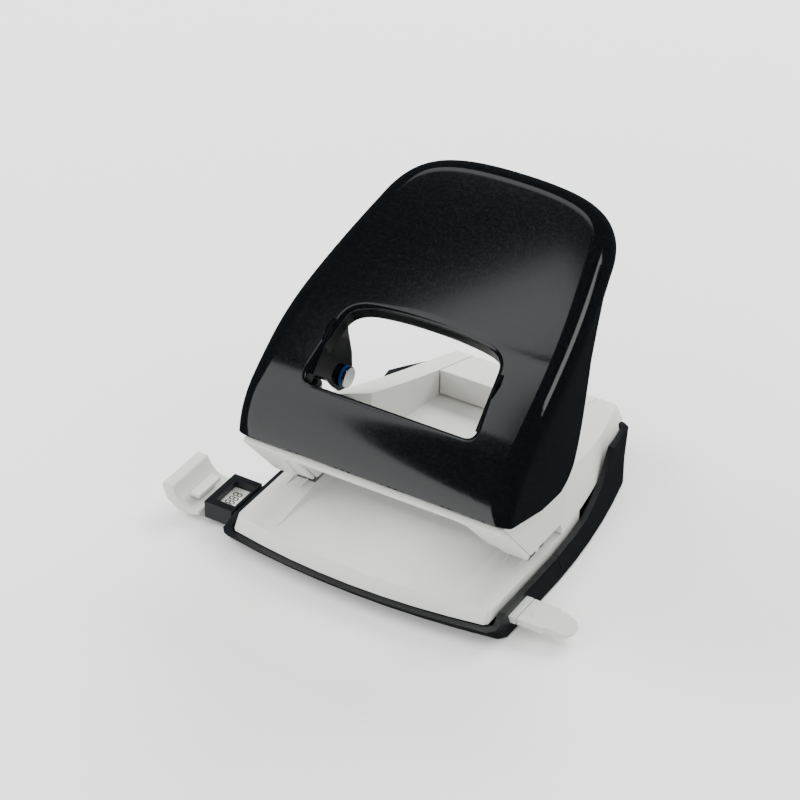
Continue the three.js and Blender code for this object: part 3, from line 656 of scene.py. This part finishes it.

# Painted shade: a copy of the lacquer that mirrors almost nothing, on the lip inside the window
# and on the lugs, so they stay dark where they would mirror the pale body.
shade_painted_lacquer = lacquer.copy()
shade_painted_lacquer.name = "thin_black_lacquer"
shade_painted_shader = shade_painted_lacquer.node_tree.nodes["Principled BSDF"]
shade_painted_shader.inputs["Specular IOR Level"].default_value = 0.05
handle.data.materials.append(shade_painted_lacquer)
# The lip's faces inside the window take the lacquer with painted shade.
for polygon in handle.data.polygons:
    middle = polygon.center * 1000
    height = middle.dot(lean_up)
    below = middle.dot(lean_out) - plane_offset - between(profile, height)
    in_window = abs(middle.x) < window_half + 1 and 8 < height < window_top + 2
    if in_window and below < -1.2 * fold:
        polygon.material_index = 1

# ---- handle lugs ------------------------------------------------------------
# Two tongues of the same pressing, folded back inside the window to hold the drive
# pins, and lacquered with it. Their outline is towards the back, and up, in millimetres.
lug_outline = [(-14.5, 60), (-3, 71.5), (7, 74), (7.2, 64.5), (9.2, 55), (9.3, 48),
               (7.6, 44.6), (4.4, 43.2), (1.2, 44.2), (-1.6, 47.4), (-6, 53.2), (-11.5, 57.6)]
lug_thick = 1.8
for side, low in (("left", -31.4), ("right", 29.6)):
    bpy.ops.object.select_all(action="DESELECT")
    bpy.ops.mesh.primitive_circle_add(vertices=len(lug_outline), fill_type="NGON")
    lug = bpy.context.object
    lug.name = "handle_lug_" + side
    for vertex, (y, z) in zip(lug.data.vertices, lug_outline):
        vertex.co = Vector((low, y, z)) / 1000
    edit(lug, (bpy.ops.mesh.extrude_region_move,
               {"TRANSFORM_OT_translate": {"value": (lug_thick / 1000, 0, 0)}}),
         (bpy.ops.mesh.select_all, {"action": "SELECT"}),
         (bpy.ops.mesh.normals_make_consistent, {"inside": False}))
    rounded(lug, 0.45, 3, 40)
    # The lug takes the lacquer with painted shade, its reflection turned almost off.
    fit(lug, "handle", "handle_lacquer", shade_painted_lacquer)

# ---- drive pins and collars -------------------------------------------------
# Turned bright pins across the lugs that press on the punch heads, each kept in
# by a blue moulded collar.

# Acetal, IOR 1.48: waxy, with a tighter highlight than the grey body.
blue_acetal = moulded("moulded_blue_acetal", 0x16305E, 0x1C3C72, 0.30, 0.5, 0.003, IOR=1.48)
for side in ("left", "right"):
    fit(moulding("push_pin_" + side, "drive_pin_" + side, 0.35), "handle", "bright_steel",
        bright, "drive_pin_" + side)
    fit(moulding("pin_collar_" + side, "drive_pin_collar_" + side, 0.25), "handle",
        "blue_plastic", blue_acetal, "drive_pin_collar_" + side)

# ---- paper guide ------------------------------------------------------------
# A sliding bar of light grey acetal with a scale under a black window, a stop at
# its outer end and a thumb tongue at the other.

# Grey acetal: a shade cooler and a little glossier than the body's ABS.
guide_acetal = moulded("moulded_grey_acetal", 0xC9CCC6, 0xD2D5CF, 0.42, 0.6, 0.004, IOR=1.48)
for name, source, edge in (("guide_rail", "guide_bar", 0.25),
                           ("guide_end_stop", "guide_stop", 0.6),
                           ("guide_end_block", "stop_block", 0.3)):
    fit(moulding(name, source, edge), "guide", "guide_plastic", guide_acetal, source)
# The thumb end falls away at its tip and has a thumb dimple near the base.
thumb = blank("guide_thumb", "guide_tongue")
tip_start, tip_slope = (0.0655, 0, 0.0057), (0.3, 0, 0.954)
edit(thumb, (bpy.ops.mesh.bisect, {"plane_co": tip_start, "plane_no": tip_slope,
                                   "use_fill": True, "clear_outer": True}))
bpy.ops.object.select_all(action="DESELECT")
dimple_radius, dimple_middle = 0.0034, (0.0563, -0.0245, 0.00875)
bpy.ops.mesh.primitive_uv_sphere_add(segments=48, ring_count=24, radius=dimple_radius,
                                     location=dimple_middle)
combined(thumb, bpy.context.object, "DIFFERENCE")
rounded(thumb, 0.15, 2)
fit(thumb, "guide", "guide_plastic", guide_acetal, "guide_tongue")
# The scale is a strip of pale plastic film, printed on its face and let into the bar.
label_print = moulded("printed_label", 0xDDE0D8, 0xE4E6DF, 0.35, 0.8, 0.002, IOR=1.5)
fit(moulding("guide_scale", "scale_strip", 0.05, 1), "guide", "scale_label", label_print,
    "scale_strip")
# Printed on it: a three-figure sheet size in seven-bar figures, and a row of dots.
ink, ink_shader = new_material("printing_ink", Roughness=0.5, IOR=1.5,
                               Base_Color=linear(0x161816))
ink_place = node(ink, "ShaderNodeTexCoord").outputs["Object"]
ink_drift = node(ink, "ShaderNodeTexNoise", {"Scale": 2500, "Detail": 2}, {"Vector": ink_place})
ink_tone = node(ink, "ShaderNodeMix", {"A": linear(0x111311), "B": linear(0x1E211E)},
                {"Factor": ink_drift.outputs["Fac"]}, data_type="RGBA")
feed(ink, ink_shader, "Base Color", ink_tone.outputs["Result"])
print_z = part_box("scale_strip")[1].z + 0.00002
print_thick = 0.00003
bar_long, bar_thick = 1.5, 0.55
# Each bar of a figure: across it, up it, and 1 where the bar stands upright.
bars = [(0, 1.5, 0), (0, 0, 0), (0, -1.5, 0),
        (-0.7, 0.75, 1), (0.7, 0.75, 1), (-0.7, -0.75, 1), (0.7, -0.75, 1)]
figures_x = -56.4
figures_start = -24.2
figure_pitch = 2.3
dot_pitch = 0.0011
marks = []
for figure in range(3):
    for across_mm, up_mm, upright in bars:
        # The figures run towards the back, with their tops towards the stop.
        marks.append((figures_x - up_mm, figures_start + figure * figure_pitch + across_mm,
                      upright))
for x, y, upright in marks:
    bpy.ops.object.select_all(action="DESELECT")
    bpy.ops.mesh.primitive_circle_add(vertices=6, fill_type="NGON", radius=1)
    bar = bpy.context.object
    bar_size = (bar_long, bar_thick) if upright else (bar_thick, bar_long)
    bar.scale = Vector((bar_size[0] / 2, bar_size[1] / 2, 1)) / 1000
    bar.location = (x / 1000, y / 1000, print_z)
    bpy.ops.object.transform_apply()
    bar.name = "figure_bar"
for i in range(5):
    bpy.ops.object.select_all(action="DESELECT")
    bpy.ops.mesh.primitive_circle_add(vertices=12, fill_type="NGON", radius=0.00022,
                                      location=(-0.0537, -0.0242 + i * dot_pitch, print_z))
    bpy.context.object.name = "figure_bar"
    bpy.ops.object.transform_apply()
bpy.ops.object.select_all(action="DESELECT")
printed = [o for o in bpy.data.objects if o.name.startswith("figure_bar")]
for bar in printed:
    bar.select_set(True)
bpy.context.view_layer.objects.active = printed[0]
bpy.ops.object.join()
figures = bpy.context.object
figures.name = "scale_figures"
edit(figures, (bpy.ops.mesh.extrude_region_move,
               {"TRANSFORM_OT_translate": {"value": (0, 0, print_thick)}}),
     (bpy.ops.mesh.select_all, {"action": "SELECT"}),
     (bpy.ops.mesh.normals_make_consistent, {"inside": False}))
fit(figures, "guide", "scale_label", ink)
# The black frame that the scale is read through, fixed to the base's left side.
fit(moulding("guide_frame", "guide_window", 0.35), "body", "base_plastic", base_abs,
    "guide_window")

# ---- studio -----------------------------------------------------------------
# A flat pale table in a plain pale room, with soft boxes above, in front and beside. The
# lacquer is nearly a mirror, so each light is placed by what it draws on the handle.
floor_paint, floor_shader = new_material("pale_table", Roughness=0.9,
                                         Base_Color=linear(0xFCFCFB))
floor_place = node(floor_paint, "ShaderNodeTexCoord").outputs["Object"]
floor_drift = node(floor_paint, "ShaderNodeTexNoise", {"Scale": 3, "Detail": 2},
                   {"Vector": floor_place})
floor_tone = node(floor_paint, "ShaderNodeMix", {"A": linear(0xFAFAF9), "B": linear(0xFEFEFD)},
                  {"Factor": floor_drift.outputs["Fac"]}, data_type="RGBA")
feed(floor_paint, floor_shader, "Base Color", floor_tone.outputs["Result"])
bpy.ops.object.select_all(action="DESELECT")
bpy.ops.mesh.primitive_plane_add(size=12, location=(0, 0, 0))
table = bpy.context.object
table.name = "table_top"
table.data.materials.append(floor_paint)
# The lacquer mirrors the soft boxes and a dark room, not the pale table.
table.visible_glossy = False


def soft_box(name, place, aim, width, height, power, turn=0):
    """A soft box that the camera doesn't see: an area light, turned to face a point."""
    data = bpy.data.lights.new(name, "AREA")
    data.shape = "RECTANGLE"
    data.size = width
    data.size_y = height
    data.energy = power
    lamp = bpy.data.objects.new(name, data)
    bpy.context.scene.collection.objects.link(lamp)
    lamp.visible_camera = False
    facing = (Vector(aim) - Vector(place)).to_track_quat("-Z", "Y")
    lamp.matrix_world = (Matrix.Translation(place) @ facing.to_matrix().to_4x4()
                         @ Matrix.Rotation(math.radians(turn), 4, "Z"))
    return lamp


# Each soft box: name, place, point it faces, width, height, power in watts, turn in degrees.
soft_box("key_light", (0.95, 0.25, 1.15), (0, 0, 0.04), 0.7, 0.5, 4)
rear = soft_box("back_light", (-0.1, 1.5, 0.95), (0, 0, 0.05), 1.6, 0.8, 60)
side = soft_box("left_light", (-1.4, -0.2, 0.9), (0, 0, 0.05), 0.9, 0.6, 18)
# Three narrow boxes overhead and a tall card in front are what the lacquer mirrors: the
# edge of the slanting one draws the line across the handle.
soft_box("slant_light", (-0.346, 0.0385, 0.9), (-0.346, 0.0386, 0.0), 0.115, 0.06, 0.048, 38.5)
soft_box("long_light", (-0.385, -0.19, 0.9), (-0.385, -0.1899, 0.0), 0.125, 0.40, 0.345, -10)
soft_box("front_card", (-0.451, -0.5, 0.30), (-0.451, 0.0, 0.30), 0.35, 1.6, 3.8, 15.4)
soft_box("top_light", (-0.37, 0.18, 0.9), (-0.37, 0.1801, 0.0), 0.24, 0.08, 0.12, 4)
fill = soft_box("front_light", (0.3, -1.5, 1.0), (0, 0, 0.05), 1.1, 0.8, 9)
# The front, back and left boxes only fill the shadows, so nothing mirrors them.
fill.visible_glossy = rear.visible_glossy = side.visible_glossy = False
# The room is bright for the shadows and the background, and dim for what is mirrored.
room_bright = 0.9
room_mirrored = 0.05
world = bpy.data.worlds.new("studio")
bpy.context.scene.world = world
world.use_nodes = True
room = world.node_tree.nodes["Background"]
room.inputs["Color"].default_value = linear(0xFFFFFF)
seen_by = node(world, "ShaderNodeLightPath")
dimmed = node(world, "ShaderNodeMapRange", {"To Min": room_bright, "To Max": room_mirrored},
              {"Value": seen_by.outputs["Is Glossy Ray"]})
feed(world, room, "Strength", dimmed.outputs["Result"])

# A long lens, in front and to the right, looking down at about 35 degrees.
camera_data = bpy.data.cameras.new("camera")
camera_data.sensor_width = 36
camera_data.lens = 143.55
camera = bpy.data.objects.new("camera", camera_data)
bpy.context.scene.collection.objects.link(camera)
camera.location = Vector((427.5, -706.7, 628.1)) / 1000
target = Vector((-10.1, 6.5, 44.8)) / 1000
camera.rotation_euler = (target - camera.location).to_track_quat("-Z", "Y").to_euler()
bpy.context.scene.camera = camera
